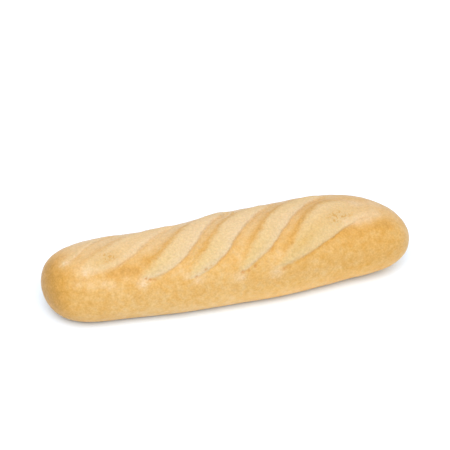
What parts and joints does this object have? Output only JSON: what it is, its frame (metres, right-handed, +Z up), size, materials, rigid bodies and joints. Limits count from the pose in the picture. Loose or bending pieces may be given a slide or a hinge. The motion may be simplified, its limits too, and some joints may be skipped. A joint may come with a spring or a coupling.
{
  "type": "baguette",
  "caption": "Short, plump golden baguette with rounded ends, a flat sole and slanting scored cuts opened pale across its top.",
  "frame": {"origin": "on the sole, below the middle of the loaf's bounding box", "axes": "+X along the loaf towards its blunter, thicker end; +Y across it, towards the high tips of the cuts; +Z up, out of the crown"},
  "size_m": [0.262, 0.072, 0.0565],
  "materials": {
    "crust": "matt golden bread crust, paler where the cuts opened"
  },
  "bodies": {
    "root": {"loaf": "crust"}
  },
  "joints": []
}
